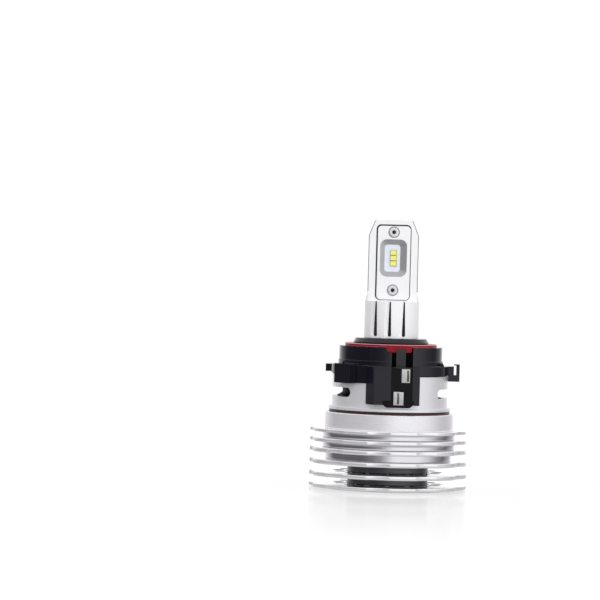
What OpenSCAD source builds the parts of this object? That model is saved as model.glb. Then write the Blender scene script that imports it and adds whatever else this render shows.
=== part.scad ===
// Plug-in LED headlight bulb with a finned heat sink and a twist-on contact adapter.
// Millimetres. The bulb stands on its rear face: +Z runs from the heat sink to the LED head,
// the adapter's contact block faces -Y, and the origin is the centre of the rear face.
// Azimuths are degrees about +Z from the front (-Y), positive towards +X.

/* [Heat sink] */
// Outer radius of the cooling fins
fin_r = 24; // [22:0.5:26]
// Underside height of each fin, rear fin first
fin_z = [0.35, 3.8, 7.6, 11.15, 14.3, 17.3]; // each 3 to 4 above the last
// Thickness of each fin, rear fin first
fin_t = [1.1, 1.25, 1.3, 1.3, 1.1, 1.0]; // each 0.8 to 1.6
// Number of shallow scoops round the fin rims
scoop_count = 10; // [6:1:16]
// Azimuth of the first scoop
scoop_azimuth = -7; // [-18:1:18]
// Radius of each scoop
scoop_r = 9.3; // [6:0.1:12]
// Depth of each scoop
scoop_depth = 0.9; // [0.3:0.1:1.2]
// Core radius between the two rear pairs of fins
waist_r = 12.3; // [11.8:0.1:12.8]
// Core radius behind the third fin
shoulder_r = 19.3; // [18:0.1:20]
// Core radius between the front fins
core_r = 20.3; // [19.5:0.1:21]
// Radius of the smooth neck above the fins
neck_r = 19.6; // [19:0.1:20]
// Height of the neck's top face
neck_top = 23.15; // [22:0.05:24]

/* [Rear face] */
// Middle radius of the bright ring that the bulb rests on
rest_ring_r = 20.25; // [20:0.05:20.5]
// Width of the rest ring's flat
rest_ring_w = 1; // [0.6:0.1:1.2]
// Number of vent holes in the two rear fins
vent_count = 15; // [10:1:18]
// Vent hole radius
vent_r = 1.75; // [1.2:0.05:1.9]
// Pitch radius of the vent holes
vent_pitch_r = 15; // [14.5:0.1:16]
// Mouth radius of the central recess
recess_r = 10.9; // [10.5:0.1:11.2]
// Floor radius of the central recess
recess_floor_r = 9; // [8.5:0.1:9.5]
// Depth of the central recess
recess_depth = 6.5; // [5:0.1:7]
// Radius of the turning knob in the recess
knob_r = 6.2; // [5:0.1:6.5]
// Distance of the knob's end below the rest plane
knob_sink = 2.2; // [1:0.1:3]

/* [Driver sleeve] */
// Sleeve flange radius
flange_r = 18.6; // [18.2:0.1:19]
// Sleeve flange height
flange_h = 0.85; // [0.6:0.05:1.2]
// Outer radius of the sleeve tube
sleeve_r = 17.6; // [17.2:0.1:17.8]
// Inner radius of the sleeve tube
sleeve_bore_r = 16; // [15.9:0.1:16.2]
// Height of the sleeve's open top
sleeve_top = 34.7; // [33:0.1:34.7]
// Height of the bayonet slots' lower edge
slot_z = 27.95; // [27.5:0.05:28.2]
// Height of a bayonet slot
slot_h = 2.9; // [2.5:0.05:3.2]
// Azimuth where the right slot begins
slot_start = 55.4; // [52:0.2:57]
// Azimuth where the right slot ends; the left slot is the same, half a turn round
slot_stop = 137.2; // [136:0.2:142]

/* [Adapter] */
// Adapter flange radius
seat_r = 18.1; // [17.9:0.1:18.6]
// Underside height of the adapter flange
seat_bottom = 35; // [34.5:0.1:35.2]
// Height of the flange's seating face
seat_top = 37.8; // [37:0.1:38.5]
// Radius of the locating ring above the flange
ring_r = 15.75; // [15.5:0.05:16]
// Height of the locating ring's top face
ring_top = 43.4; // [42:0.1:44]
// Radius of the thicker band round the locating ring's foot
foot_r = 16; // [15.9:0.05:16.1]
// Height of that band's top edge
foot_top = 39.2; // [38.6:0.1:39.6]
// Azimuths of the snap hooks in the left and right slots at rest
hook_azimuths = [-61, 127]; // each well inside its slot, 50 degrees from its far end
// Half the angle that a snap hook spans
hook_half = 6; // [3:0.5:6]
// Distance from the axis to the contact block's front face
block_front = 20.5; // [20:0.1:21]

/* [LED stalk] */
// Column radius
column_r = 8.3; // [8:0.1:8.6]
// Height of the column's foot
column_z = 46; // [45.9:0.1:46.2]
// Height of the shoulder under the head
shoulder_z = 57.2; // [56:0.1:58]
// Width of the head
head_w = 15.3; // [14:0.1:16]
// Thickness of the head
head_t = 6.4; // [5.5:0.1:7]
// Height of the head's tip
head_top = 82; // [80:0.5:84]
// Width of a cover plate
plate_w = 10; // [9.8:0.1:10.2]
// Height of a cover plate
plate_h = 22.5; // [22:0.1:22.7]
// Lower edge of a cover plate
plate_z = 57.7; // [57.6:0.1:57.9]
// Height of the LED row's centre
led_z = 70.4; // [69:0.1:71]

/* [Hidden] */
$fn = 96;
eps = 0.05;
gasket_t = 0.9;
flange_z = neck_top + gasket_t;
tube_z = flange_z + flange_h;
deck_t = 1.2;
spigot_r = 15.4;
pocket_r = 15.5;
pocket_z = 10.5;
boss_r = 7.5;
boss_top = 20.6;
thread_r = 5;
thread_z = 9;
post_r = 1.9;
post_pitch_r = 12.9;
post_azimuths = [70, 150, 260];
board_t = 1.6;
board_top = boss_top + board_t;
board_r = 14.9;
shank_r = 6.9;
floor_step = 0.6;
ring_inner = 13;
ring_roof = 42;
hub_r = 8.95;
hub_bore = 9;
hook_r = 17.3;
post_face_r = 15.6;
skirt_z = 32.5;
latch_slot = [19.4, 20.15];
latch_slot_z = [35.2, 38.15];
latch_lip = 0.35;
gusset_azimuths = [-64, 80, 130, 215];
gusset_l = 0.9;
gusset_h = 1.3;
lead_x = [1.2, 4.8];
lead_z = 36;
lead_r = 0.55;
collar_z = 44.4;
gasket_r = 14.05;
collar_r = 11.65;
collar_tip_r = 10.8;
collar_h = 1.5;
wire_x = 5.9;
wire_r = 0.5;
pocket_y = 1.5;
board_face = 2.45;
plate_back = 2.5;
plate_face = 3.5;
plate_corner = 1.2;
plate_shift = 0.1;
bed_w = 10.7;
bed_z = [57.5, 80.65];
window_shift = -0.3;
flute_x = [-4.85, -0.55, 3.7];
flute_w = 1;
flute_depth = 3.6;
wire_turn_z = led_z - 4.9;
wire_end_x = 2.2;
screw_gap = 8.85;
screw_z = led_z - 0.95;
block_x = [-7.2, 9];
block_z = 26.3;
block_back = 15.5;
channel_x = [0.4, 6.7];
channel_back = 18.4;
tab_x = [-1.3, 6.3];
tab_back = 13.7;
carrier_x = [-2.1, 7.2];
carrier_z = [25.5, 27.5];
carrier_face = 19.9;
rib_x = [1.7, 4.6];
rib_z = seat_top - 3.9;
rib_face = 15.2;
upper_pad = [3.5, 33.1, 2.5, 4.1];
lower_pad = [1.2, 26.3, 3, 4];
pad_t = 0.3;
pad_bow = 0.35;
pad_room = 0.9;
gap = 0.1;

// ---- shared shapes ----

// Turns the children so that +X points along an azimuth.
module at(azimuth) {
    rotate([0, 0, azimuth - 90]) children();
}

module disc(r, z0, z1) {
    translate([0, 0, z0]) cylinder(r = r, h = z1 - z0);
}

module tube(r_in, r_out, z0, z1) {
    difference() {
        disc(r_out, z0, z1);
        disc(r_in, z0 - 1, z1 + 1);
    }
}

// Part of a ring between two azimuths.
module arc_wall(r_in, r_out, z0, z1, a0, a1) {
    at(a0) rotate_extrude(angle = a1 - a0)
        translate([r_in, z0]) square([r_out - r_in, z1 - z0]);
}

// A box given by its lowest and highest corners.
module span(low, high) {
    translate(low) cube(high - low);
}

// The same shape on the front and, turned half a turn, on the back.
module rear_side() {
    rotate([0, 0, 180]) children();
}

module rounded_slab(w, h, r, y_front, y_back) {
    translate([-w / 2, y_back, 0]) rotate([90, 0, 0]) linear_extrude(y_back - y_front)
        union() {
            translate([r, 0]) square([w - 2 * r, h]);
            translate([0, r]) square([w, h - 2 * r]);
            for (x = [r, w - r], y = [r, h - r]) translate([x, y]) circle(r, $fn = 48);
        }
}

// ---- heat sink ----

// Half section of the turned blank, from the rest ring inwards.
module sink_section() {
    ring_in = rest_ring_r - rest_ring_w / 2;
    ring_out = rest_ring_r + rest_ring_w / 2;
    rear_top = fin_z[0] + fin_t[0];
    edge = 0.4;
    polygon([
        [fin_r, fin_z[0]], [ring_out + 0.5, fin_z[0]], [ring_out + 0.5, 0.2],
        [ring_out + 0.2, 0.2], [ring_out, 0], [ring_in, 0], [ring_in - 0.35, 0.35],
        [18.8, 0.35], [18.8, floor_step], [recess_r + edge, floor_step],
        [recess_r, floor_step + edge], [recess_floor_r, recess_depth],
        [knob_r, recess_depth], [knob_r, knob_sink + edge], [knob_r - edge, knob_sink],
        [0, knob_sink], [0, thread_z + eps],
        [0, neck_top], [neck_r - 0.25, neck_top], [neck_r, neck_top - 0.25],
        [neck_r, fin_z[5]], [core_r, fin_z[5]], [core_r, fin_z[3]],
        [shoulder_r, fin_z[3]], [shoulder_r, fin_z[2]], [waist_r, fin_z[2]],
        [waist_r, rear_top], [fin_r, rear_top]
    ]);
}

module scoops() {
    for (i = [0 : scoop_count - 1])
        at(scoop_azimuth + i * 360 / scoop_count)
            translate([fin_r - scoop_depth + scoop_r, 0, -1]) cylinder(r = scoop_r, h = 22);
}

module heat_sink() {
    color("silver") difference() {
        union() {
            rotate_extrude($fn = 180) sink_section();
            for (i = [1 : 5]) disc(fin_r, fin_z[i], fin_z[i] + fin_t[i]);
        }
        scoops();
        difference() {
            disc(pocket_r, pocket_z, neck_top + 1);
            disc(boss_r, pocket_z - 1, boss_top);
            for (a = post_azimuths)
                at(a) translate([post_pitch_r, 0, 0]) disc(post_r, pocket_z - 1, boss_top);
        }
        disc(thread_r, thread_z, neck_top);
        for (a = post_azimuths) at(a) translate([post_pitch_r, 0, 0]) disc(0.8, boss_top - 5, boss_top + 1);
        for (i = [0 : vent_count - 1])
            at(i * 360 / vent_count) translate([vent_pitch_r, 0, 0]) disc(vent_r, -1, fin_z[2] - 0.6);
    }
}

module sink_gasket() {
    color("darkred") tube(spigot_r + 0.1, flange_r - 0.15, neck_top, flange_z);
}

// ---- driver ----

module driver_board() {
    color("darkgreen") difference() {
        disc(board_r, boss_top, board_top);
        disc(thread_r + 0.1, boss_top - 1, board_top + 1);
        for (a = post_azimuths) at(a) translate([post_pitch_r, 0, 0]) disc(1.1, boss_top - 1, board_top + 1);
    }
}

module board_screws() {
    color("silver") for (a = post_azimuths) at(a) translate([post_pitch_r, 0, 0]) {
        disc(0.78, boss_top - 4, board_top + eps);
        difference() {
            disc(1.6, board_top, board_top + 1.1);
            translate([0, 0, board_top + 0.5]) cylinder(r = 0.6, h = 1, $fn = 6);
        }
    }
}

module driver_capacitor() {
    color("dimgray") at(110) translate([11.4, 0, 0]) {
        disc(3.1, boss_top - 8.2, boss_top - 0.8);
        disc(3.3, boss_top - 1, boss_top - 0.05);
    }
}

module driver_inductor() {
    color("gray") at(200) translate([11.3, 0, 0]) {
        disc(3.3, boss_top - 1, boss_top - 0.05);
        disc(2.1, boss_top - 4.5, boss_top - 0.5);
        disc(3.3, boss_top - 5.2, boss_top - 4.2);
    }
}

module driver_chips() {
    color("black") {
        at(105) translate([8.2, -2, board_top]) cube([4, 4, 0.9]);
        at(185) translate([8.6, -2.5, board_top]) cube([3.9, 5, 1.1]);
        at(225) translate([8.6, -1.3, board_top]) cube([3.2, 2.6, 1]);
    }
}

// ---- driver sleeve ----

module bayonet_slot() {
    round_a = asin(slot_h / 2 / sleeve_r);
    ends = [slot_start + round_a, slot_stop - round_a];
    arc_wall(sleeve_bore_r - 1, flange_r + 1, slot_z, slot_z + slot_h, ends[0], ends[1]);
    for (a = ends) at(a) translate([sleeve_bore_r - 1.5, 0, slot_z + slot_h / 2])
        rotate([0, 90, 0]) cylinder(r = slot_h / 2 + 0.02, h = 4);
}

module driver_sleeve() {
    color("gainsboro") difference() {
        union() {
            disc(flange_r, flange_z, tube_z);
            disc(spigot_r, neck_top - 0.9, tube_z);
            disc(sleeve_r, tube_z - eps, sleeve_top);
        }
        disc(sleeve_bore_r, tube_z + deck_t, sleeve_top + 1);
        disc(14.7, neck_top - 2, tube_z - 0.2);
        disc(shank_r + 0.1, 0, sleeve_top);
        arc_wall(8.9, 13, tube_z - 1, tube_z + deck_t + 1, -60, 28);
        bayonet_slot();
        rear_side() bayonet_slot();
    }
}

// ---- LED stalk ----

// One flute of the column's front: a deep slot, wide at the foot, with a shallow hollow on its left.
module flute(x) {
    foot = column_z + flute_w;
    length = plate_z - foot;
    half = flute_w / 2;
    tip = 0.2;
    translate([x, -column_r - 1, foot]) rotate([-90, 0, 0])
        linear_extrude(flute_depth + 1)
            union() {
                polygon([[-tip, -length], [tip, -length], [half, 0], [-half, 0]]);
                circle(half, $fn = 32);
            }
    hollow_r = 1.2;
    hollow_depth = 0.3;
    at(asin((x - half - 0.4) / column_r)) translate([column_r + hollow_r - hollow_depth, 0, foot])
        rotate([0, 1, 0]) cylinder(r = hollow_r, h = length + 1);
}

module head_blank() {
    corner = 1.7;
    shoulder = 4.8;
    half = head_w / 2;
    translate([0, head_t / 2, 0]) rotate([90, 0, 0]) linear_extrude(head_t)
        polygon([
            [-half, shoulder_z], [half, shoulder_z],
            [half, head_top - shoulder], [half - corner, head_top - 0.4],
            [half - corner - 0.4, head_top], [-half + corner + 0.4, head_top],
            [-half + corner, head_top - 0.4], [-half, head_top - shoulder]
        ]);
}

// Sloping shoulders that carry the column's width up into the head's edges.
module shoulder() {
    rise = 3;
    intersection() {
        translate([0, 0, shoulder_z]) cylinder(r1 = column_r, r2 = head_w / 2 - 0.1, h = rise);
        span([-column_r, -head_t / 2, shoulder_z], [column_r, head_t / 2, shoulder_z + rise]);
    }
}

// Cut-outs of one side of the head: plate bed, board pocket, screw holes, wire hole.
module head_cuts() {
    translate([0, 0, bed_z[0]])
        rounded_slab(bed_w, bed_z[1] - bed_z[0], plate_corner + 0.3, -head_t, -plate_back);
    span([-3.4, -head_t, led_z - 5.4], [3.4, -pocket_y, led_z + 5.4]);
    for (s = [-1, 1]) translate([0, 0, screw_z + s * screw_gap])
        rotate([90, 0, 0]) cylinder(r = 0.8, h = head_t);
    for (x = [-wire_end_x, wire_end_x])
        translate([x, 0, wire_turn_z]) rotate([90, 0, 0]) cylinder(r = 0.7, h = head_t / 2);
}

module stalk() {
    color("whitesmoke") difference() {
        union() {
            disc(thread_r - eps, thread_z + 0.3, board_top + 2);
            disc(shank_r, board_top + 1.6, column_z + eps);
            disc(column_r, column_z, shoulder_z);
            intersection() {
                head_blank();
                disc(column_r - 0.1, shoulder_z - 1, head_top + 1);
            }
            shoulder();
        }
        for (x = flute_x) {
            flute(x);
            rear_side() flute(x);
        }
        for (s = [-1, 1]) translate([s * wire_x, 0, 0]) disc(0.75, board_top - 1, wire_turn_z + 0.7);
        translate([-wire_x, 0, wire_turn_z]) rotate([0, 90, 0]) cylinder(r = 0.7, h = 2 * wire_x);
        head_cuts();
        rear_side() head_cuts();
    }
}

module stalk_collar() {
    color("black") difference() {
        union() {
            translate([0, 0, collar_z]) cylinder(r1 = collar_r, r2 = collar_tip_r, h = collar_h);
            disc(hub_r, ring_roof - 0.4, collar_z + eps);
        }
        disc(shank_r + eps, 40, 50);
    }
}

module led_board() {
    color("white") difference() {
        span([-3.2, -board_face, led_z - 5.2], [3.2, -pocket_y, led_z + 5.2]);
        for (x = [-wire_end_x, wire_end_x])
            translate([x, 0, wire_turn_z]) rotate([90, 0, 0]) cylinder(r = 0.6, h = 5);
    }
}

module led_chips() {
    chip_w = 2;
    chip_h = 1.55;
    pitch = 1.66;
    color("yellow") for (i = [-1, 0, 1])
        span([-chip_w / 2, -board_face - 0.4, led_z + i * pitch - chip_h / 2],
            [chip_w / 2, -board_face, led_z + i * pitch + chip_h / 2]);
}

// Cover plate with a bevelled window, and two countersinks for its screws.
module cover_plate() {
    front = plate_face;
    back = plate_back;
    outer_w = 8.15;
    outer_h = 11.4;
    inner_w = 4.8;
    inner_h = 8.3;
    color("white") difference() {
        translate([plate_shift, 0, plate_z]) rounded_slab(plate_w, plate_h, plate_corner, -front, -back);
        hull() {
            translate([0, 0, led_z - outer_h / 2])
                rounded_slab(outer_w, outer_h, 2.1, -front - eps, -front + eps, $fn = 32);
            translate([window_shift, 0, led_z - inner_h / 2])
                rounded_slab(inner_w, inner_h, 0.9, -back - eps, -back + 1, $fn = 32);
        }
        for (s = [-1, 1]) translate([0, 0, screw_z + s * screw_gap]) rotate([90, 0, 0]) {
            cylinder(r = 1, h = 6);
            translate([0, 0, front - 0.35]) cylinder(r = 1.65, h = 1);
        }
    }
}

module cover_screws() {
    color("silver") for (s = [-1, 1]) translate([0, 0, screw_z + s * screw_gap])
        rotate([90, 0, 0]) difference() {
            union() {
                translate([0, 0, 1.2]) cylinder(r = 0.78, h = plate_face - 1.2);
                translate([0, 0, plate_face - 0.34]) cylinder(r = 1.5, h = 0.4);
            }
            translate([0, 0, plate_face - 0.2]) cylinder(r = 0.7, h = 1, $fn = 6);
        }
}

module front_led_board() { led_board(); }
module rear_led_board() { rear_side() led_board(); }
module front_led_chips() { led_chips(); }
module rear_led_chips() { rear_side() led_chips(); }
module front_cover_plate() { cover_plate(); }
module rear_cover_plate() { rear_side() cover_plate(); }
module front_cover_screws() { cover_screws(); }
module rear_cover_screws() { rear_side() cover_screws(); }

// Two insulated wires from the driver board, up the shank's grooves to both LED boards.
module led_leads() {
    run = wire_x - wire_end_x;
    color("red") for (s = [-1, 1]) {
        translate([s * wire_x, 0, 0]) disc(wire_r, board_top, wire_turn_z);
        translate([s * wire_x, 0, wire_turn_z]) {
            sphere(r = wire_r, $fn = 48);
            rotate([0, -s * 90, 0]) cylinder(r = wire_r, h = run);
        }
        translate([s * wire_end_x, board_face, wire_turn_z])
            rotate([90, 0, 0]) cylinder(r = wire_r, h = 2 * board_face);
    }
}

// ---- adapter ----

module lug(azimuth, half_w, r_out, z0, z1) {
    at(azimuth) span([ring_r, -half_w, z0], [r_out, half_w, z1]);
}

module contact_block() {
    left_edge = 16.6;
    bevel = 2.3;
    translate([0, 0, block_z]) linear_extrude(seat_top - block_z)
        polygon([
            [block_x[0], -left_edge], [block_x[0] + bevel, -block_front],
            [block_x[1], -block_front], [block_x[1], -block_back], [block_x[0], -block_back]
        ]);
}

// Snap hook that reaches down inside the sleeve, with a barb out into a bayonet slot.
module hook(azimuth) {
    z = slot_z + 0.25;
    arc_wall(14.2, post_face_r, z, seat_bottom, azimuth - hook_half, azimuth + hook_half);
    at(azimuth - hook_half) rotate_extrude(angle = 2 * hook_half)
        polygon([
            [post_face_r - 0.1, z], [hook_r, z + 0.1], [hook_r, z + 0.45],
            [hook_r - 0.9, z + 0.75], [post_face_r - 0.1, z + 1.4]
        ]);
}

// Lug with a vertical slot behind its outer wall, which ends in a lip at the top.
module latch_lug() {
    half_w = 3;
    wall = [latch_slot[1], latch_slot[1] + 1];
    bottom = 33.2;
    top = latch_slot_z[1] + latch_lip;
    lug(90, half_w, wall[1], bottom, seat_top);
    at(90) span([wall[0], -half_w, bottom], [wall[1], half_w, top]);
    at(90) span([latch_slot[0] + eps, -half_w, latch_slot_z[1]], [wall[1], half_w, top]);
}

// Small upright gusset in the corner between the flange and the locating ring.
module gusset() {
    thick = 0.4;
    translate([foot_r - gap, thick / 2, seat_top]) rotate([90, 0, 0]) linear_extrude(thick)
        polygon([[0, -gap], [gusset_l, -gap], [0, gusset_h]]);
}

module adapter_ring() {
    color("black") difference() {
        union() {
            disc(ring_r, seat_bottom, ring_top);
            disc(foot_r, seat_bottom, foot_top);
            disc(seat_r, seat_bottom, seat_top);
            arc_wall(ring_r, seat_r, skirt_z, seat_top, -44, -18);
            contact_block();
            tube(14.3, 15.7, 33.3, seat_bottom + eps);
            lug(-47, 3.4, 20, 32.35, seat_top + 0.4);
            lug(-108, 3, 19.9, 35.2, seat_top - 0.3);
            lug(168, 5, 20.6, seat_bottom, seat_top);
            latch_lug();
            for (a = hook_azimuths) hook(a);
            for (a = gusset_azimuths) at(a) gusset();
        }
        disc(ring_inner, 20, ring_roof);
        disc(hub_bore, seat_bottom, ring_top + 1);
        // room for the sleeve's rim, apart from the hooks
        difference() {
            disc(sleeve_r + 0.3, 20, seat_bottom);
            disc(sleeve_bore_r - 0.3, 20, seat_bottom + 1);
            for (a = hook_azimuths)
                arc_wall(15, hook_r + eps, slot_z, slot_z + slot_h / 2,
                    a - hook_half - 1, a + hook_half + 1);
        }
        at(90) span([latch_slot[0], -6, latch_slot_z[0]], [latch_slot[1], 6, latch_slot_z[1]]);
        // contact channel, and the notch for the gasket tab and the carrier's rib
        span([carrier_x[0] - eps, -30, 20], [carrier_x[1] + eps, -channel_back, carrier_z[1] + gap]);
        span([channel_x[0] - eps, -30, 20], [channel_x[1] + eps, -channel_back, seat_top - 1]);
        span([channel_x[0] - eps, -30, seat_top - 4], [channel_x[1] + eps, -tab_back, ring_top + 1]);
        span([tab_x[0] - gap, -30, 41.9], [channel_x[1], -tab_back, ring_top + 1]);
        for (x = lead_x) translate([x, -10, lead_z]) rotate([90, 0, 0]) cylinder(r = lead_r + eps, h = 12);
        // parting line of the moulding
        at(-21.5) span([ring_r - 0.12, -0.06, seat_top], [foot_r + 1, 0.06, ring_top + 1]);
    }
}

module adapter_gasket() {
    tab_face = 14.5;
    tab_top = ring_top + 0.55;
    color("crimson") {
        tube(11, gasket_r, ring_top, collar_z - gap);
        span([tab_x[0], -tab_face, 42], [tab_x[1], -tab_back - eps, tab_top]);
        span([tab_x[0], -tab_face, ring_top], [tab_x[1], -12, tab_top]);
    }
}

module contact_carrier() {
    back = channel_back + eps;
    chamfer = [1.1, 0.9];
    corners = [carrier_x[0] + chamfer[0], carrier_x[1] - chamfer[0]];
    color("black") difference() {
        union() {
            span([channel_x[0], -carrier_face, 26.5], [channel_x[1], -back, seat_top - gap]);
            translate([0, -back, 0]) rotate([90, 0, 0]) linear_extrude(carrier_face - back)
                polygon([
                    [carrier_x[0], carrier_z[1]], [carrier_x[0], carrier_z[0] + chamfer[1]],
                    [corners[0], carrier_z[0]], [corners[1], carrier_z[0]],
                    [carrier_x[1], carrier_z[0] + chamfer[1]], [carrier_x[1], carrier_z[1]]
                ]);
            span([rib_x[0], -rib_face, rib_z], [rib_x[1], -14.6, 43.1]);
            span([rib_x[0], -back - eps, rib_z], [rib_x[1], eps - rib_face, seat_top - 1.1]);
        }
        for (pad = [upper_pad, lower_pad])
            span([pad[0] - gap, -carrier_face - 1, pad[1] - gap],
                [pad[0] + pad[2] + gap, -carrier_face + pad_room, pad[1] + pad[3] + gap]);
        for (x = lead_x) translate([x, -10, lead_z]) rotate([90, 0, 0])
            cylinder(r = lead_r + eps, h = channel_back - 10);
        disc(sleeve_r + 0.3, 20, seat_bottom);
    }
}

// Bowed contact strip; pad gives its left edge, lower edge, width and height.
module contact_strip(pad) {
    half = pad[3] / 2;
    bow_r = (half * half + pad_bow * pad_bow) / (2 * pad_bow);
    color("silver") translate([pad[0], -carrier_face - 0.05, pad[1] + half]) intersection() {
        translate([0, bow_r - pad_bow, 0]) rotate([0, 90, 0]) difference() {
            cylinder(r = bow_r, h = pad[2]);
            translate([0, 0, -1]) cylinder(r = bow_r - pad_t, h = pad[2] + 2);
        }
        translate([0, -1, -half]) cube([pad[2], 1.35, pad[3]]);
    }
}

module upper_contact() { contact_strip(upper_pad); }
module lower_contact() { contact_strip(lower_pad); }

// Two leads from the carrier over the sleeve's rim and down to the driver board.
module contact_leads() {
    drop_y = 11;
    foot_z = board_top + 0.3;
    color("dimgray") for (x = lead_x) {
        translate([x, -drop_y, foot_z]) cylinder(r = lead_r, h = lead_z - foot_z);
        translate([x, -drop_y, lead_z]) sphere(r = lead_r, $fn = 48);
        translate([x, -drop_y, lead_z]) rotate([90, 0, 0]) cylinder(r = lead_r, h = channel_back - drop_y);
    }
}

heat_sink();
sink_gasket();
driver_sleeve();
driver_board();
board_screws();
driver_capacitor();
driver_inductor();
driver_chips();
stalk();
stalk_collar();
front_led_board();
rear_led_board();
front_led_chips();
rear_led_chips();
front_cover_plate();
rear_cover_plate();
front_cover_screws();
rear_cover_screws();
led_leads();
adapter_ring();
adapter_gasket();
contact_carrier();
upper_contact();
lower_contact();
contact_leads();
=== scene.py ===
import math

import bmesh
import bpy
from mathutils import Matrix, Vector


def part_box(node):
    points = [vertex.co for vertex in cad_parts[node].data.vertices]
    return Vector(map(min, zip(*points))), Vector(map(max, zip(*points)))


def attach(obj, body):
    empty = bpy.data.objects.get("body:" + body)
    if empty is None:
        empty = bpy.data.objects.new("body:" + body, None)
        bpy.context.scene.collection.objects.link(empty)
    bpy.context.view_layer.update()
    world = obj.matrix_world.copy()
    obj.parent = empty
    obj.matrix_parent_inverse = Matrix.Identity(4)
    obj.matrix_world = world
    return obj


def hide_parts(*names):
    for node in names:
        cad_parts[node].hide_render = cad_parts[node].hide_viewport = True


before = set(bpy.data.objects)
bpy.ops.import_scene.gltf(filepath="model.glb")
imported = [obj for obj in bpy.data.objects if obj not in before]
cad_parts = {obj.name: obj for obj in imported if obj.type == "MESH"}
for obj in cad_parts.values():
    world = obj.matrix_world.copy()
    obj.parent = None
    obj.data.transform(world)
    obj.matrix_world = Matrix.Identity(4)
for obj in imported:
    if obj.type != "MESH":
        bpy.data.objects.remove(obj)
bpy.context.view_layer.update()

MM = 0.001
SMOOTH_ANGLE = math.radians(32)


# ---------------------------------------------------------------- sizes, mm

def low(node):
    """Lowest corner of a CAD node, in mm."""
    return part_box(node)[0] / MM


def high(node):
    """Highest corner of a CAD node, in mm."""
    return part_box(node)[1] / MM


FIN_R = 24.0
# (bottom, thickness) of each fin, from the rear
FINS = [(0.35, 1.1), (3.8, 1.25), (7.6, 1.3), (11.15, 1.3), (14.3, 1.1), (17.3, 1.0)]
# Radius of the core between each fin and the next
CORE_R = [12.3, 12.3, 19.3, 20.3, 20.3]
NECK_R = 19.6
NECK_TOP = high("heat_sink").z
SCOOPS = 10
SCOOP_AZIMUTH = -7.0
SCOOP_R = 9.3
SCOOP_DEPTH = 0.9
REST_RING = (19.75, 20.75)
FLOOR_R = 18.8
FLOOR_Z = 0.6
VENTS = 15
VENT_R = 1.75
VENT_PITCH_R = 15.0
RECESS_R = 10.9
RECESS_FLOOR_R = 9.0
RECESS_DEPTH = 6.5
KNOB_R = 6.2
KNOB_SINK = 2.2
POCKET_R = 15.5
POCKET_Z = 10.5
BOSS_R = 7.5
BOSS_TOP = 20.6
THREAD_R = 5.0
THREAD_Z = 9.0
POSTS = (70, 150, 260)
POST_PITCH_R = 12.9
POST_R = 1.9
POST_BORE_R = 0.8
POST_BORE_DEPTH = 5
# Radius inside which the space between the rear fins is painted dark, as shade
WAIST_SHADE_R = 12.8
# Lit and shaded copies of the heat sink's one aluminium: lighter or darker per surface, as painted light and shade
SINK_SHADED_COPIES = ("flank", "rim", "neck", "core", "waist_shade", "turned")
LED_Z = (low("front_led_board").z + high("front_led_board").z) / 2


# ---------------------------------------------------------------- mesh tools

def azimuth_turn(degrees):
    """Turn about Z that takes +X to an azimuth counted from the front, -Y."""
    return Matrix.Rotation(math.radians(degrees - 90), 4, "Z")


def make_piece(name, mesh_data, materials, body=None):
    """An object from a bmesh in mm, smooth except at its edges."""
    mesh = bpy.data.meshes.new(name)
    bmesh.ops.recalc_face_normals(mesh_data, faces=mesh_data.faces[:])
    mesh_data.to_mesh(mesh)
    mesh_data.free()
    mesh.transform(Matrix.Scale(MM, 4))
    for material in materials:
        mesh.materials.append(material)
    for polygon in mesh.polygons:
        polygon.use_smooth = True
    mesh.set_sharp_from_angle(angle=SMOOTH_ANGLE)
    piece = bpy.data.objects.new(name, mesh)
    bpy.context.scene.collection.objects.link(piece)
    if body:
        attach(piece, body)
    return piece


def settle(piece):
    """Applies a piece's modifiers to its mesh."""
    depsgraph = bpy.context.evaluated_depsgraph_get()
    mesh = bpy.data.meshes.new_from_object(piece.evaluated_get(depsgraph))
    piece.modifiers.clear()
    piece.data = mesh
    for polygon in mesh.polygons:
        polygon.use_smooth = True
    mesh.set_sharp_from_angle(angle=SMOOTH_ANGLE)


def carve(piece, cutter_mesh, operation="DIFFERENCE"):
    """Cuts a bmesh in mm out of a piece, or joins it on."""
    cutter = make_piece(piece.name + "_cutter", cutter_mesh, piece.data.materials)
    cut = piece.modifiers.new("cut", "BOOLEAN")
    cut.operation = operation
    cut.solver = "MANIFOLD"
    cut.object = cutter
    settle(piece)
    bpy.data.objects.remove(cutter)


def soften(piece, width, segments=2, angle=35):
    """Rounds a piece's edges by a width in mm."""
    bevel = piece.modifiers.new("edges", "BEVEL")
    bevel.width = width * MM
    bevel.segments = segments
    bevel.limit_method = "ANGLE"
    bevel.angle_limit = math.radians(angle)
    bevel.use_clamp_overlap = True
    bevel.miter_outer = "MITER_ARC"


def even_normals(piece):
    """Shades each face evenly up to its round edges."""
    weighted = piece.modifiers.new("normals", "WEIGHTED_NORMAL")
    weighted.keep_sharp = True


def stand_in(piece, node):
    """Puts a finished piece in the place of a CAD node."""
    even_normals(piece)
    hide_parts(node)


def rounded_outline(corners, steps=4):
    """Points of a closed outline of (x, y, corner radius), with an arc at each corner."""
    points = []
    for i, (x, y, radius) in enumerate(corners):
        here = Vector((x, y))
        back = Vector(corners[i - 1][:2]) - here
        ahead = Vector(corners[(i + 1) % len(corners)][:2]) - here
        if radius <= 0:
            points.append(here)
            continue
        half = back.angle(ahead) / 2
        reach = min(radius / math.tan(half), 0.48 * back.length, 0.48 * ahead.length)
        radius = reach * math.tan(half)
        middle = (back.normalized() + ahead.normalized()).normalized()
        centre = here + middle * radius / math.sin(half)
        start = here + back.normalized() * reach - centre
        end = here + ahead.normalized() * reach - centre
        sweep = start.angle_signed(end)
        for k in range(steps + 1):
            points.append(centre + Matrix.Rotation(-sweep * k / steps, 2) @ start)
    return points


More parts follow.
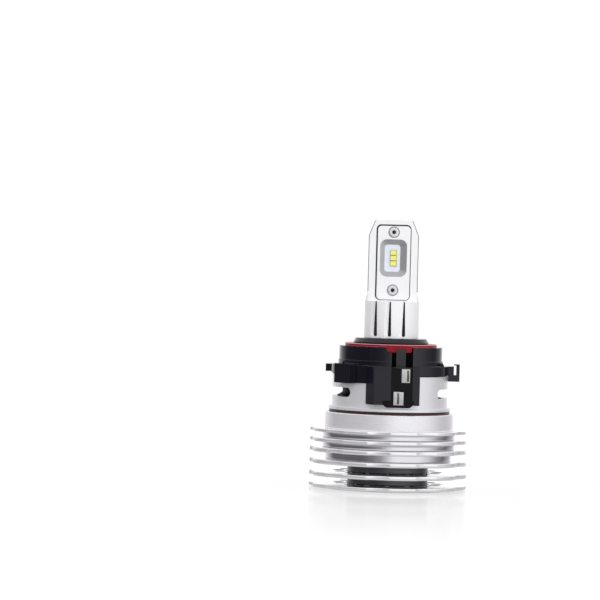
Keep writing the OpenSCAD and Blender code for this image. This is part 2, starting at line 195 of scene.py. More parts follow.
def lathe(outline, segments, rim_cut=None, finish=None):
    """Turns a closed outline of (radius, z) about Z.

    rim_cut(angle, r, z) takes depth off a radius, and finish(a, b) numbers the material between two points.
    """
    mesh_data = bmesh.new()
    on_axis = [abs(r) < 1e-6 for r, z in outline]
    poles = {i: mesh_data.verts.new((0, 0, z)) for i, (r, z) in enumerate(outline) if on_axis[i]}
    rings = []
    for s in range(segments):
        angle = 2 * math.pi * s / segments
        ring = []
        for i, (r, z) in enumerate(outline):
            if on_axis[i]:
                ring.append(poles[i])
                continue
            radius = r - (rim_cut(angle, r, z) if rim_cut else 0)
            ring.append(mesh_data.verts.new((radius * math.cos(angle), radius * math.sin(angle), z)))
        rings.append(ring)
    count = len(outline)
    for s in range(segments):
        this, following = rings[s], rings[(s + 1) % segments]
        for i in range(count):
            j = (i + 1) % count
            corners = []
            for vert in (this[i], this[j], following[j], following[i]):
                if vert not in corners:
                    corners.append(vert)
            if len(corners) > 2:
                face = mesh_data.faces.new(corners)
                if finish:
                    face.material_index = finish(outline[i], outline[j])
    return mesh_data


def loft(loops, ring=False):
    """Closed mesh through loops of points, with caps at both ends, or round on itself if ring."""
    mesh_data = bmesh.new()
    rows = [[mesh_data.verts.new(p) for p in loop] for loop in loops]
    pairs = list(zip(rows, rows[1:]))
    if ring:
        pairs.append((rows[-1], rows[0]))
    else:
        mesh_data.faces.new(rows[0])
        mesh_data.faces.new(list(reversed(rows[-1])))
    for first, second in pairs:
        for i in range(len(first)):
            j = (i + 1) % len(first)
            mesh_data.faces.new((first[i], first[j], second[j], second[i]))
    return mesh_data


def rounded_rectangle(width, height, radius, steps=8):
    """Outline of a rectangle about the origin with round corners, all with the same point count."""
    w, h = width / 2, height / 2
    return rounded_outline([(-w, -h, radius), (w, -h, radius), (w, h, radius), (-w, h, radius)], steps)


def facing_front(outline, y, centre_z, centre_x=0.0):
    """An (x, z) outline as points in a plane that faces the front."""
    return [(centre_x + p[0], y, centre_z + p[1]) for p in outline]


def merged(parts):
    """Several bmeshes as one."""
    whole = bmesh.new()
    for part in parts:
        scratch = bpy.data.meshes.new("scratch")
        part.to_mesh(scratch)
        part.free()
        whole.from_mesh(scratch)
        bpy.data.meshes.remove(scratch)
    return whole


def turned_copy(mesh_data, matrix):
    """A bmesh's copy, moved by a matrix."""
    copy = mesh_data.copy()
    bmesh.ops.transform(copy, matrix=matrix, verts=copy.verts[:])
    return copy


# ---------------------------------------------------------------- materials

# Colours of the painted shade in the stalk's flutes and beds, and of the painted shade along the head's long edges
PAINTED_SHADE_COLOUR = (0.05, 0.05, 0.055)
EDGE_SHADE_COLOUR = (0.30, 0.29, 0.31)
# Where they lie on the stalk, mm
FLUTE_SHADE_R = 7.85
SHOULDER_Z = 57.2
HEAD_HALF = 3.2
HEAD_SIDE = 7.65
EDGE_SHADE_WIDTH = 0.28
CORNER_Z = 77.2
CORNER_SLOPE = 0.386
BED_HALF = 5.35
BED_TOP = 80.65


def new_material(name):
    """A material with its node tree and its main shader."""
    material = bpy.data.materials.new(name)
    material.use_nodes = True
    tree = material.node_tree
    return material, tree, tree.nodes["Principled BSDF"]


def add_node(tree, kind, **settings):
    """A new node, with settings for its sockets or its properties."""
    node = tree.nodes.new(kind)
    for key, value in settings.items():
        if key in node.inputs:
            node.inputs[key].default_value = value
        else:
            setattr(node, key, value)
    return node


def noise(tree, vector, scale, detail=4.0, roughness=0.55):
    """Noise from about 0.3 to 0.7, at a scale in cells to the metre."""
    node = add_node(tree, "ShaderNodeTexNoise", Scale=scale, Detail=detail, Roughness=roughness)
    tree.links.new(vector, node.inputs["Vector"])
    return node.outputs["Fac"]


def remap(tree, value, out_low, out_high, in_low=0.3, in_high=0.7):
    """Maps the range in_low to in_high onto out_low to out_high."""
    node = add_node(tree, "ShaderNodeMapRange")
    node.inputs["From Min"].default_value = in_low
    node.inputs["From Max"].default_value = in_high
    node.inputs["To Min"].default_value = out_low
    node.inputs["To Max"].default_value = out_high
    tree.links.new(value, node.inputs["Value"])
    return node.outputs["Result"]


def blend_colours(tree, factor, first, second):
    """First colour where the factor is 0, second where it is 1."""
    node = add_node(tree, "ShaderNodeMix", data_type="RGBA")
    node.inputs[6].default_value = (*first, 1)
    node.inputs[7].default_value = (*second, 1)
    tree.links.new(factor, node.inputs[0])
    return node.outputs[2]


def object_coordinates(tree):
    """Place on the object, in metres."""
    return tree.nodes.new("ShaderNodeTexCoord").outputs["Object"]


def turning_coordinates(tree):
    """Coordinates that change across a lathe's tool marks and hardly along them."""
    split = tree.nodes.new("ShaderNodeSeparateXYZ")
    tree.links.new(object_coordinates(tree), split.inputs[0])
    flat = tree.nodes.new("ShaderNodeCombineXYZ")
    tree.links.new(split.outputs["X"], flat.inputs["X"])
    tree.links.new(split.outputs["Y"], flat.inputs["Y"])
    radius = add_node(tree, "ShaderNodeVectorMath", operation="LENGTH")
    tree.links.new(flat.outputs[0], radius.inputs[0])
    marks = tree.nodes.new("ShaderNodeCombineXYZ")
    tree.links.new(radius.outputs["Value"], marks.inputs["X"])
    tree.links.new(split.outputs["Z"], marks.inputs["Y"])
    return marks.outputs[0]


def bumped(tree, shader, height, strength, distance, edge=0.0):
    """Bumps a surface, and rounds its edges in shading by a radius in mm."""
    bump = add_node(tree, "ShaderNodeBump", Strength=strength, Distance=distance)
    if edge:
        rounded = add_node(tree, "ShaderNodeBevel", samples=6, Radius=edge * MM)
        tree.links.new(rounded.outputs["Normal"], bump.inputs["Normal"])
    tree.links.new(height, bump.inputs["Height"])
    tree.links.new(bump.outputs["Normal"], shader.inputs["Normal"])


def metal(name, light, dark, roughness, grain=5000.0, marks=None, bump=0.12, metallic=1.0, shade=None):
    """Machined metal: tool marks or blasted grain, patchy gloss and slight colour change.

    shade(tree, place) gives the masks of the surfaces painted in deep shade and of the painted shade along edges.
    """
    material, tree, shader = new_material(name)
    shader.inputs["Metallic"].default_value = metallic
    place = object_coordinates(tree)
    patches = noise(tree, place, 160.0, 3.0)
    if marks:
        fine = noise(tree, turning_coordinates(tree), marks, 6.0, 0.7)
    else:
        fine = noise(tree, place, grain, 3.0)
    colour = blend_colours(tree, remap(tree, patches, 0.0, 1.0), dark, light)
    if shade:
        for mask, shade_colour in zip(shade(tree, place), (PAINTED_SHADE_COLOUR, EDGE_SHADE_COLOUR)):
            shaded = add_node(tree, "ShaderNodeMix", data_type="RGBA")
            tree.links.new(mask, shaded.inputs[0])
            tree.links.new(colour, shaded.inputs[6])
            shaded.inputs[7].default_value = (*shade_colour, 1)
            colour = shaded.outputs[2]
    tree.links.new(colour, shader.inputs["Base Color"])
    both = add_node(tree, "ShaderNodeMath", operation="ADD")
    tree.links.new(patches, both.inputs[0])
    tree.links.new(fine, both.inputs[1])
    gloss = remap(tree, both.outputs[0], roughness[0], roughness[1], 0.7, 1.3)
    tree.links.new(gloss, shader.inputs["Roughness"])
    bumped(tree, shader, fine, bump, 0.00004)
    return material


def math_node(tree, operation, first, second):
    """One step of arithmetic on numbers or sockets."""
    node = add_node(tree, "ShaderNodeMath", operation=operation)
    for socket, value in zip(node.inputs, (first, second)):
        if isinstance(value, (int, float)):
            socket.default_value = value
        else:
            tree.links.new(value, socket)
    return node.outputs[0]


def all_of(tree, *masks):
    """Mask that is 1 where every mask is."""
    whole = masks[0]
    for mask in masks[1:]:
        whole = math_node(tree, "MULTIPLY", whole, mask)
    return whole


def painted_stalk_shade(tree, place):
    """Masks of the painted deep shade on the flutes and the plates' beds, and of the painted shade along the head's
    long edges.
    """

    def under(value, limit):
        return math_node(tree, "LESS_THAN", value, limit * MM)

    def over(value, limit):
        return math_node(tree, "GREATER_THAN", value, limit * MM)

    split = tree.nodes.new("ShaderNodeSeparateXYZ")
    tree.links.new(place, split.inputs[0])
    x, y, z = split.outputs
    off_x = math_node(tree, "ABSOLUTE", x, 0.0)
    off_y = math_node(tree, "ABSOLUTE", y, 0.0)
    square = math_node(tree, "ADD", math_node(tree, "MULTIPLY", x, x), math_node(tree, "MULTIPLY", y, y))
    off_axis = math_node(tree, "SQRT", square, 0.0)
    flute_top, bed_foot, edge_shade_foot = SHOULDER_Z - 0.1, SHOULDER_Z + 0.03, SHOULDER_Z + 3
    bed_face, bed_side, bed_top = HEAD_HALF - 0.06, BED_HALF + 0.02, BED_TOP + 0.02
    # painted shade in the flutes and in the plates' beds
    flutes = all_of(tree, under(off_axis, FLUTE_SHADE_R), under(z, flute_top))
    bed = all_of(tree, under(off_y, bed_face), under(off_x, bed_side), over(z, bed_foot), under(z, bed_top))
    past_corner = math_node(tree, "ADD", off_x, math_node(tree, "MULTIPLY", z, CORNER_SLOPE))
    corner = HEAD_SIDE + CORNER_SLOPE * CORNER_Z
    # painted shade: a grey line along the head's long edges, standing in for the shading of rounded edges
    outline = math_node(tree, "MAXIMUM", over(off_x, HEAD_SIDE - EDGE_SHADE_WIDTH), over(past_corner, corner - EDGE_SHADE_WIDTH))
    edges = all_of(tree, outline, over(off_y, HEAD_HALF - EDGE_SHADE_WIDTH), over(z, edge_shade_foot))
    return math_node(tree, "MAXIMUM", flutes, bed), edges


def moulded(name, light, dark, roughness, grain, bump, specular=0.5, edge=0.0):
    """Moulded plastic or rubber: fine surface grain, soft flow clouds, uneven gloss."""
    material, tree, shader = new_material(name)
    place = object_coordinates(tree)
    clouds = noise(tree, place, 120.0, 4.0)
    fine = noise(tree, place, grain, 3.0)
    colour = blend_colours(tree, remap(tree, clouds, 0.0, 1.0), dark, light)
    tree.links.new(colour, shader.inputs["Base Color"])
    tree.links.new(remap(tree, clouds, roughness[0], roughness[1]), shader.inputs["Roughness"])
    shader.inputs["Specular IOR Level"].default_value = specular
    bumped(tree, shader, fine, bump, 0.00003, edge)
    return material


def circuit_board():
    """Green solder mask with paler tracks."""
    material, tree, shader = new_material("circuit_board")
    cells = add_node(tree, "ShaderNodeTexVoronoi", Scale=420.0, feature="DISTANCE_TO_EDGE")
    tree.links.new(object_coordinates(tree), cells.inputs["Vector"])
    tracks = remap(tree, cells.outputs["Distance"], 1.0, 0.0, 0.02, 0.09)
    colour = blend_colours(tree, tracks, (0.01, 0.09, 0.03), (0.04, 0.2, 0.07))
    tree.links.new(colour, shader.inputs["Base Color"])
    shader.inputs["Roughness"].default_value = 0.35
    return material


MATERIAL = {
    # The heat sink's copies of one aluminium differ in colour as painted light and shade: rims lighter as painted
    # highlight, waist near-black as painted shade
    "core": metal("fin_core_aluminium", (0.69, 0.68, 0.71), (0.66, 0.65, 0.68), (0.05, 0.08),
                  marks=6000.0, bump=0.03),
    "neck": metal("neck_aluminium", (0.86, 0.85, 0.88), (0.83, 0.82, 0.85), (0.26, 0.32),
                  marks=6000.0, metallic=0.46),
    "flank": metal("fin_flank_aluminium", (0.68, 0.67, 0.70), (0.64, 0.63, 0.66), (0.07, 0.12),
                   marks=8000.0, bump=0.04),
    "turned": metal("turned_aluminium", (0.76, 0.75, 0.77), (0.72, 0.71, 0.73), (0.2, 0.26),
                    marks=8000.0, metallic=0.8),
    "rim": metal("fin_rim_painted_highlight", (0.91, 0.90, 0.92), (0.87, 0.86, 0.88), (0.14, 0.2),
                 marks=9000.0, bump=0.05, metallic=0.6),
    "waist_shade": metal("waist_painted_shade", (0.12, 0.12, 0.13), (0.10, 0.10, 0.11), (0.3, 0.36), marks=6000.0),
    "sleeve": metal("sleeve_aluminium", (0.85, 0.85, 0.88), (0.82, 0.82, 0.85), (0.32, 0.38),
                    marks=5000.0, metallic=0.5),
    # The stalk's material paints shade into its flutes and beds and along its head's edges
    "stalk": metal("stalk_aluminium", (0.96, 0.96, 0.98), (0.93, 0.93, 0.95), (0.42, 0.5),
                   grain=7000.0, metallic=0.12, shade=painted_stalk_shade),
    "cover": metal("cover_aluminium", (0.97, 0.97, 0.98), (0.94, 0.94, 0.96), (0.42, 0.5),
                   grain=9000.0, metallic=0.4),
    "bevel": metal("window_bevel", (0.46, 0.46, 0.48), (0.42, 0.42, 0.44), (0.36, 0.46),
                   grain=9000.0, metallic=0.7),
    "steel": metal("screw_steel", (0.80, 0.80, 0.82), (0.7, 0.7, 0.73), (0.2, 0.3),
                   marks=9000.0, metallic=0.7),
    # The screws' recesses are a dark copy of the steel, as painted shade
    "recess": metal("screw_recess", (0.05, 0.05, 0.055), (0.03, 0.03, 0.035), (0.3, 0.4), grain=9000.0),
    "contact": metal("contact_plating", (0.99, 0.99, 0.99), (0.96, 0.95, 0.95), (0.04, 0.12),
                     grain=1400.0, bump=0.2, metallic=0.1),
    # The contacts' grooves are a darker copy of the plating, as painted shade
    "groove": metal("contact_groove_shade", (0.32, 0.31, 0.32), (0.18, 0.17, 0.18), (0.04, 0.12),
                    grain=1400.0, bump=0.2),
    "black": moulded("black_plastic", (0.007, 0.006, 0.013), (0.005, 0.004, 0.009), (0.1, 0.16),
                     6000.0, 0.03, 0.42, edge=0.15),
    # The insert and its rib are copies of the black plastic: the insert dimmer as painted shade, the rib's face
    # lighter and glossier as painted light
    "insert": moulded("insert_plastic_painted_shade", (0.004, 0.004, 0.006), (0.003, 0.003, 0.004), (0.12, 0.2),
                      6000.0, 0.03, 0.14, edge=0.1),
    "rib": moulded("insert_rib", (0.022, 0.022, 0.028), (0.018, 0.018, 0.024), (0.1, 0.16),
                   6000.0, 0.03, 0.38, edge=0.1),
    # The channel behind the contacts is a near-black copy of the plastic, as painted shade
    "channel": moulded("channel_floor", (0.002, 0.002, 0.003), (0.001, 0.001, 0.002), (0.4, 0.5),
                       6000.0, 0.03, 0.03),
    "red": moulded("red_silicone", (0.30, 0.006, 0.014), (0.22, 0.004, 0.010), (0.24, 0.32), 4000.0, 0.08, 0.2),
    # The seal's round outer edges are a pale copy of the red, as painted highlight
    "red_highlight_edge": moulded("silicone_edge_highlight", (0.66, 0.22, 0.27), (0.56, 0.16, 0.21), (0.3, 0.4), 4000.0, 0.08, 0.4),
    # The seal's colour is its own dark red, darkened further as painted shade
    "seal": moulded("dark_seal", (0.050, 0.005, 0.006), (0.025, 0.003, 0.004), (0.3, 0.42), 4000.0, 0.1),
    "mask": moulded("white_solder_mask", (0.84, 0.89, 0.99), (0.79, 0.85, 0.97), (0.25, 0.36), 8000.0, 0.05),
    "phosphor": moulded("led_phosphor", (0.95, 0.93, 0.24), (0.90, 0.86, 0.16), (0.3, 0.45), 9000.0, 0.1),
    "chip_body": moulded("chip_body", (0.34, 0.33, 0.07), (0.24, 0.24, 0.05), (0.4, 0.5), 9000.0, 0.1),
    "case": moulded("component_case", (0.03, 0.03, 0.035), (0.018, 0.018, 0.02), (0.4, 0.55), 5000.0, 0.12),
    "wire": moulded("wire_insulation", (0.35, 0.03, 0.03), (0.25, 0.02, 0.02), (0.4, 0.5), 5000.0, 0.1),
    "board": circuit_board(),
}


# ---------------------------------------------------------------- heat sink

def scoop_depth(angle):
    """Depth of the scoops below the fins' outer circle, at a polar angle."""
    pitch = 2 * math.pi / SCOOPS
    first = math.radians(SCOOP_AZIMUTH - 90)
    off = (angle - first + pitch / 2) % pitch - pitch / 2
    centre = FIN_R - SCOOP_DEPTH + SCOOP_R
    inside = SCOOP_R ** 2 - (centre * math.sin(off)) ** 2
    depth = FIN_R - (centre * math.cos(off) - math.sqrt(max(inside, 0.0))) if inside > 0 else -1.0
    soft = 0.06
    return (depth + math.sqrt(depth * depth + soft * soft)) / 2


def heat_sink_outline():
    """Half section of the heat sink as (radius, z, edge radius)."""
    edge = 0.14
    first_z, first_t = FINS[0]
    outline = [(POCKET_R, NECK_TOP, 0.1), (NECK_R, NECK_TOP, 0.25)]
    for k in range(len(FINS) - 1, 0, -1):
        z, t = FINS[k]
        above = NECK_R if k == len(FINS) - 1 else CORE_R[k]
        outline += [(above, z + t, 0.15)]
        outline += [(WAIST_SHADE_R, z + t, 0)] if k == 1 else []
        outline += [(FIN_R, z + t, edge), (FIN_R, z, edge)]
        outline += [(WAIST_SHADE_R, z, 0)] if k < 3 else []
        outline += [(CORE_R[k - 1], z, 0.15)]
    outline += [
        (CORE_R[0], first_z + first_t, 0.15), (WAIST_SHADE_R, first_z + first_t, 0),
        (FIN_R, first_z + first_t, edge), (FIN_R, first_z, edge),
        (REST_RING[1] + 0.5, first_z, 0), (REST_RING[1] + 0.45, 0.22, 0), (REST_RING[1] + 0.2, 0.2, 0),
        (REST_RING[1], 0, 0), (REST_RING[0], 0, 0), (REST_RING[0] - 0.35, first_z, 0),
        (FLOOR_R, first_z, 0), (FLOOR_R - 0.1, FLOOR_Z, 0), (RECESS_R + 0.4, FLOOR_Z, 0),
        (RECESS_R, FLOOR_Z + 0.4, 0), (RECESS_FLOOR_R, RECESS_DEPTH, 0.9), (KNOB_R, RECESS_DEPTH, 0.4),
        (KNOB_R, KNOB_SINK + 0.4, 0), (KNOB_R - 0.4, KNOB_SINK, 0), (0, KNOB_SINK, 0),
        (0, THREAD_Z, 0), (THREAD_R, THREAD_Z, 0), (THREAD_R, BOSS_TOP, 0.1), (BOSS_R, BOSS_TOP, 0.2),
        (BOSS_R, POCKET_Z, 0.3), (POCKET_R, POCKET_Z, 0.3),
    ]
    return [(p.x, p.y) for p in rounded_outline(outline, 3)]


def heat_sink_shaded_copy(a, b):
    """Number of the lit or shaded copy of the aluminium, as painted light and shade, of the face between two outline
    points.
    """
    r, z = (a[0] + b[0]) / 2, (a[1] + b[1]) / 2
    flat = abs(a[1] - b[1]) < 1e-6 and abs(a[0] - b[0]) > 0.5
    rest = REST_RING[0] - 0.36 < r < REST_RING[1] + 0.3 and z < 0.34
    mouth = RECESS_R < r < RECESS_R + 0.41 and z < FLOOR_Z + 0.41
    knob = KNOB_R - 0.41 < r < KNOB_R and z < KNOB_SINK + 0.41 and not flat
    # Rims, chamfers, the rest ring and the knob's edge take the lighter copy, as painted highlight
    if (r > FIN_R - 0.3 and not flat) or rest or mouth or knob:
        return SINK_SHADED_COPIES.index("rim")
    # The waist between the rear fins takes a near-black copy, as painted shade
    if CORE_R[0] - 0.2 < r < WAIST_SHADE_R and FINS[0][0] + 0.5 < z < FINS[2][0] + 0.2:
        return SINK_SHADED_COPIES.index("waist_shade")
    if z > FINS[-1][0] + FINS[-1][1] and r > POCKET_R:
        return SINK_SHADED_COPIES.index("neck")
    if CORE_R[2] - 0.2 < r < CORE_R[3] + 0.2 and not flat:
        return SINK_SHADED_COPIES.index("core")
    if z < FINS[0][0] + 0.5 or r < CORE_R[0] - 0.2:
        return SINK_SHADED_COPIES.index("turned")
    return SINK_SHADED_COPIES.index("flank")


def rim_cut(angle, r, z):
    """Cuts the scoops into the fins' rims only."""
    return scoop_depth(angle) if r > FIN_R - 0.5 else 0.0


def build_heat_sink():
    """Turned body with scooped fins, vent holes through the two rear fins, and posts in its pocket."""
    blank = lathe(heat_sink_outline(), 480, rim_cut, heat_sink_shaded_copy)
    piece = make_piece("heat_sink_body", blank, [MATERIAL[finish] for finish in SINK_SHADED_COPIES], "bulb")
    flare = 0.14
    drill_ends = (-0.5, 6.2)
    fin_faces = [(FLOOR_Z, FINS[0][0] + FINS[0][1]), (FINS[1][0], FINS[1][0] + FINS[1][1])]
    steps = [(0, drill_ends[0]), (VENT_R + flare, drill_ends[0])]
    for bottom, top in fin_faces:
        steps += [(VENT_R + flare, bottom), (VENT_R, bottom + flare), (VENT_R, top - flare), (VENT_R + flare, top)]
    steps += [(VENT_R + flare, drill_ends[1]), (0, drill_ends[1])]
    drill = lathe(steps, 40)
    drills = [
        turned_copy(drill, azimuth_turn(k * 360 / VENTS) @ Matrix.Translation((VENT_PITCH_R, 0, 0)))
        for k in range(VENTS)
    ]
    drill.free()
    carve(piece, merged(drills))
    post_foot, bore_foot = POCKET_Z - 0.2, BOSS_TOP - POST_BORE_DEPTH
    post = [(POST_BORE_R, bore_foot), (POST_BORE_R, BOSS_TOP), (POST_R - 0.1, BOSS_TOP), (POST_R, BOSS_TOP - 0.1),
            (POST_R, post_foot), (0, post_foot), (0, bore_foot)]
    posts = [
        turned_copy(lathe(post, 40), azimuth_turn(a) @ Matrix.Translation((POST_PITCH_R, 0, 0)))
        for a in POSTS
    ]
    carve(piece, merged(posts), "UNION")
    stand_in(piece, "heat_sink")


build_heat_sink()


# ---------------------------------------------------------------- turned rings

def build_ring(name, outline, node, material, body):
    """A turned ring from its half section of (radius, z, edge radius)."""
    piece = make_piece(name, lathe([(p.x, p.y) for p in rounded_outline(outline, 6)], 240), [material], body)
    stand_in(piece, node)


def build_sink_gasket():
    """Dark red seal between the heat sink and the sleeve, darkened further as painted shade between the two."""
    bottom, top = low("sink_gasket").z, high("sink_gasket").z
    bore, outer = 15.5, high("sink_gasket").x
    build_ring("sink_seal_ring", [(bore, bottom, 0.05), (outer, bottom, 0.3), (outer, top, 0.3), (bore, top, 0.05)],
               "sink_gasket", MATERIAL["seal"], "bulb")


def build_stalk_collar():
    """Black disc with a tapered rim, on a hub that reaches down into the adapter."""
    bottom, top = low("stalk_collar").z, high("stalk_collar").z
    rim = high("stalk_collar").x
    bore, hub, shelf, taper = 6.95, 8.95, 44.4, 0.85
    build_ring("collar_disc", [(bore, bottom, 0), (hub, bottom, 0.1), (hub, shelf, 0), (rim, shelf, 0.2),
                               (rim - taper, top, 0.3), (bore, top, 0)],
               "stalk_collar", MATERIAL["black"], "bulb")


def build_adapter_gasket():
    """Red seal whose round outer edges are pale pink as painted highlight, and a tab that folds down over the front.
    """
    top, bottom = high("adapter_gasket").z, 43.4
    inner, outer = 11.0, high("adapter_gasket").x
    edge = 0.24
    outline = rounded_outline([(inner, bottom, 0.1), (outer, bottom, edge), (outer, top, edge), (inner, top, 0.2)], 6)

    # the round outer edges take the pale copy, as painted highlight
    def finish(a, b):
        r, z = (a[0] + b[0]) / 2, (a[1] + b[1]) / 2
        return 1 if r > outer - edge and not bottom + edge < z < top - edge else 0

    piece = make_piece("top_seal", lathe([(p.x, p.y) for p in outline], 240, finish=finish),
                       [MATERIAL["red"], MATERIAL["red_highlight_edge"]], "adapter")
    front, back, bridge_back = low("adapter_gasket").y, -13.75, -12.0
    left, right = -1.3, 6.3
    tab_low, tab_top = low("adapter_gasket").z, bottom + 0.55
    face = rounded_outline([(left, tab_low, 0.5), (right, tab_low, 0.5),
                            (right, tab_top, 0.2), (left, tab_top, 0.2)], 6)
    carve(piece, loft([[(p.x, y, p.y) for p in face] for y in (front, back)]), "UNION")
    # the bridge that joins the tab to the ring is slightly smaller, so that no faces coincide
    inset, setback = 0.01, 0.05
    bridge = rounded_outline([(left + inset, bottom, 0), (right - inset, bottom, 0),
                              (right - inset, tab_top - inset, 0.2), (left + inset, tab_top - inset, 0.2)], 6)
    carve(piece, loft([[(p.x, y, p.y) for p in bridge] for y in (front + setback, bridge_back)]), "UNION")
    stand_in(piece, "adapter_gasket")


build_sink_gasket()
build_stalk_collar()
build_adapter_gasket()


# ---------------------------------------------------------------- LED head

# Width, height and corner radius of the window at the plate's face, and at its back
WINDOW_OUTER = (8.15, 11.4, 2.1)
WINDOW_INNER = (4.8, 8.3, 0.9)
WINDOW_SHIFT = -0.3
SCREW_GAP = 8.85
SCREW_MIDDLE = LED_Z - 0.95
# Half section of a screw's hole and countersink: (radius, distance from the plate's back)
SCREW_SINK = [(0, 0), (1.0, 0), (1.0, 0.65), (1.66, 0.65), (1.66, 0.9), (1.8, 1.02), (1.8, 1.4), (0, 1.4)]
SCREW_RECESS_R = 0.7
SCREW_RECESS_DEPTH = 0.45


def half_turn(side):
    """Leaves the front side alone and turns the rear side half a turn."""
    return Matrix.Rotation(0.0 if side == "front" else math.pi, 4, "Z")


def screw_heights():
    """Heights of the two screws of a plate."""
    return [SCREW_MIDDLE - SCREW_GAP, SCREW_MIDDLE + SCREW_GAP]


def build_cover_plate(side):
    """Plate with a bevelled window and two countersinks, made for the front and turned for the rear."""
    node = side + "_cover_plate"
    width = high(node).x - low(node).x
    height = high(node).z - low(node).z
    middle = (high(node).z + low(node).z) / 2
    aside = (high("front_cover_plate").x + low("front_cover_plate").x) / 2
    front = -max(abs(low(node).y), abs(high(node).y))
    back = -min(abs(low(node).y), abs(high(node).y))
    edge, lip, sunk = 0.12, 0.1, 0.12

    def loop(size, y, z, x=0.0):
        return facing_front(rounded_rectangle(size[0], size[1], size[2]), y, z, x)

    outer_w, outer_h, outer_r = WINDOW_OUTER
    loops = [
        loop((width, height, 1.2), back, middle, aside),
        loop((width, height, 1.2), front + edge, middle, aside),
        loop((width - 0.3 * edge, height - 0.3 * edge, 1.19), front + 0.3 * edge, middle, aside),
        loop((width - 2 * edge, height - 2 * edge, 1.1), front, middle, aside),
        loop((outer_w + 2 * lip, outer_h + 2 * lip, outer_r + lip), front, LED_Z),
        loop((outer_w + lip, outer_h + lip, outer_r), front + 0.03, LED_Z),
        loop((outer_w, outer_h, outer_r), front + lip, LED_Z),
        loop(WINDOW_INNER, back - sunk, LED_Z, WINDOW_SHIFT),
        loop(WINDOW_INNER, back, LED_Z, WINDOW_SHIFT),
    ]
    blank = loft(loops, ring=True)
    for face in blank.faces:
        centre = face.calc_center_median()
        sloping = front + lip < centre.y < back - lip
        in_window = abs(centre.x) < outer_w / 2 and abs(centre.z - LED_Z) < outer_h / 2
        face.material_index = 1 if sloping and in_window else 0
    bmesh.ops.transform(blank, matrix=half_turn(side), verts=blank.verts[:])
    piece = make_piece(side + "_cover", blank, [MATERIAL["cover"], MATERIAL["bevel"], MATERIAL["recess"]], "bulb")
    drills = []
    for z in screw_heights():
        drill = lathe(SCREW_SINK, 48)
        for face in drill.faces:
            face.material_index = 1
        place = Matrix.Translation((0, back, z)) @ Matrix.Rotation(math.radians(90), 4, "X")
        bmesh.ops.transform(drill, matrix=half_turn(side) @ place, verts=drill.verts[:])
        drills.append(drill)
    carve(piece, merged(drills))
    stand_in(piece, node)


def build_cover_screws(side):
    """Two screws with round heads and six-lobed recesses."""
    node = side + "_cover_screws"
    reach = max(abs(low(node).y), abs(high(node).y))
    root = min(abs(low(node).y), abs(high(node).y))
    shank_r, head_r, head_foot = 0.78, 1.48, reach - 0.42
    section = rounded_outline([
        (0, root, 0), (0.5, root, 0), (shank_r, root + 0.3, 0), (shank_r, head_foot, 0), (head_r, head_foot, 0.06),
        (head_r, reach, 0.16), (0.66, reach, 0.04), (0.6, reach - 0.4, 0), (0, reach - 0.44, 0)], 4)

    def lobes(angle, r, height):
        inside = r < SCREW_RECESS_R and height > reach - SCREW_RECESS_DEPTH
        return 0.12 * (0.5 + 0.5 * math.cos(6 * angle)) if inside else 0.0

    # the recess in each head takes the painted shade
    def finish(a, b):
        return 1 if max(a[0], b[0]) < 0.67 and min(a[1], b[1]) > reach - SCREW_RECESS_DEPTH else 0

    heads = []
    for z in screw_heights():
        screw = lathe([(p.x, p.y) for p in section], 48, lobes, finish)
        place = Matrix.Translation((0, 0, z)) @ Matrix.Rotation(math.radians(90), 4, "X")
        bmesh.ops.transform(screw, matrix=half_turn(side) @ place, verts=screw.verts[:])
        heads.append(screw)
    piece = make_piece(side + "_screws", merged(heads), [MATERIAL["steel"], MATERIAL["recess"]], "bulb")
    stand_in(piece, node)


def build_led_chips(side):
    """Three LED packages: an olive body and a slightly smaller crowned phosphor layer on each."""
    node = side + "_led_chips"
    base = min(abs(low(node).y), abs(high(node).y))
    top = max(abs(low(node).y), abs(high(node).y))
    width = high(node).x - low(node).x
    pitch, height = 1.66, 1.6
    parts = []
    for i in (-1, 0, 1):
        z = LED_Z + i * pitch
        body = loft([facing_front(rounded_rectangle(width, height, 0.08, 3), -y, z) for y in (base, top - 0.12)])
        layer = loft([
            facing_front(rounded_rectangle(width - less, height - less, 0.12, 3), -y, z)
            for less, y in ((0.22, top - 0.13), (0.22, top - 0.06), (0.3, top - 0.02), (0.46, top))
        ])
        for face in layer.faces:
            face.material_index = 1
        parts += [body, layer]
    chips = merged(parts)
    bmesh.ops.transform(chips, matrix=half_turn(side), verts=chips.verts[:])
    piece = make_piece(side + "_led_row", chips, [MATERIAL["chip_body"], MATERIAL["phosphor"]], "bulb")
    stand_in(piece, node)


for side in ("front", "rear"):
    build_cover_plate(side)
    build_cover_screws(side)
    build_led_chips(side)


# ---------------------------------------------------------------- contacts

